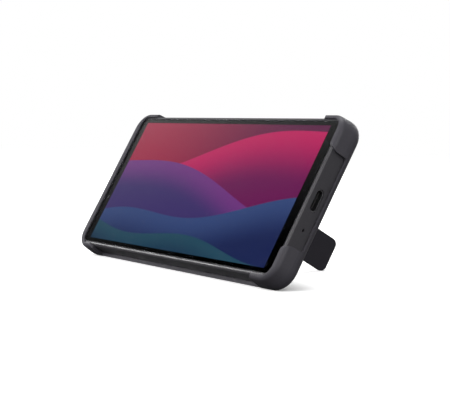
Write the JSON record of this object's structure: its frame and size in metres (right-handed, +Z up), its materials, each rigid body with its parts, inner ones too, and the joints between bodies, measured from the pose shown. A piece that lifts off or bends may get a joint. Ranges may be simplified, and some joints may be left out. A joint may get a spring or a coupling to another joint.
{
  "type": "handheld data collector",
  "caption": "Slim touchscreen handset in a dark bumper cover, leaning back in landscape on the cover's hinged kickstand.",
  "frame": {"origin": "on the surface the object stands on, under the middle of its bounding box", "axes": "+X along the long side towards the charging end, +Y to the back where the kickstand is, +Z up"},
  "size_m": [0.1582, 0.072, 0.0648],
  "materials": {
    "cover_plastic": "fine moulded grain, satin matt",
    "stand_plastic": "smooth matt",
    "pin_steel": "ground",
    "frame_plastic": "satin matt",
    "clear_glass": "polished",
    "black_print": "printed",
    "black_adhesive": "dull",
    "lit_screen": "lit picture, soft colour bands",
    "black_foam": "dull foam",
    "flex_film": "amber film with copper",
    "chassis_metal": "stamped",
    "screw_steel": "plated",
    "cell_foil": "laminated foil",
    "board_resin": "solder mask",
    "shield_tin": "tin plated",
    "port_steel": "drawn",
    "tongue_plastic": "moulded",
    "inner_plastic": "moulded",
    "dust_mesh": "fine mesh",
    "lens_black": "coated lens in black barrel",
    "surround_metal": "satin",
    "lamp_phosphor": "phosphor under clear cap",
    "key_plastic": "satin matt",
    "seal_rubber": "moulded",
    "panel_plastic": "satin matt"
  },
  "bodies": {
    "handset": {"cover_shell": "cover_plastic", "kickstand_pin": "pin_steel", "side_frame": "frame_plastic", "cover_glass": "clear_glass", "glass_border": "black_print", "glass_gasket": "black_adhesive", "display_panel": "lit_screen", "display_foam": "black_foam", "display_flex": "flex_film", "chassis_plate": "chassis_metal", "screws": "screw_steel", "battery": "cell_foil", "battery_adhesive": "black_adhesive", "main_board": "board_resin", "processor_shield": "shield_tin", "radio_shield": "shield_tin", "usb_board": "board_resin", "port_shell": "port_steel", "port_tongue": "tongue_plastic", "microphones": "shield_tin", "loudspeaker": "inner_plastic", "speaker_mesh": "dust_mesh", "vibration_motor": "shield_tin", "joining_flex": "flex_film", "nfc_coil": "flex_film", "audio_socket": "inner_plastic", "earpiece": "inner_plastic", "earpiece_mesh": "dust_mesh", "front_camera": "lens_black", "camera_wide": "lens_black", "camera_main": "lens_black", "camera_far": "lens_black", "camera_surround": "surround_metal", "camera_glass": "clear_glass", "flash_lamp": "lamp_phosphor", "key_flex": "flex_film", "sim_socket": "shield_tin", "back_panel": "panel_plastic", "back_gasket": "black_adhesive"},
    "kickstand": {"kickstand": "stand_plastic"},
    "power_key": {"power_key": "key_plastic"},
    "volume_rocker": {"volume_rocker": "key_plastic"},
    "sim_tray": {"sim_tray": "frame_plastic", "tray_seal": "seal_rubber"}
  },
  "joints": [
    {"name": "kickstand_fold", "type": "hinge", "parent": "handset", "child": "kickstand", "pos_m": [0.0224, -0.01091, 0.03005], "axis": [0, -0.4839, -0.8751], "range_deg": [0, 90]},
    {"name": "power_key_press", "type": "slide", "parent": "handset", "child": "power_key", "axis": [0, -0.4839, -0.8751], "range_m": [0, 0.0003], "stiffness_N_per_m": 2000},
    {"name": "volume_rocker_tilt", "type": "hinge", "parent": "handset", "child": "volume_rocker", "pos_m": [-0.0351, 0.00003, 0.0608], "axis": [0, -0.8751, 0.4839], "range_deg": [-1, 1], "stiffness_Nm_per_rad": 0.2},
    {"name": "sim_tray_pull", "type": "slide", "parent": "handset", "child": "sim_tray", "axis": [0, -0.4839, -0.8751], "range_m": [0, 0.025]}
  ]
}
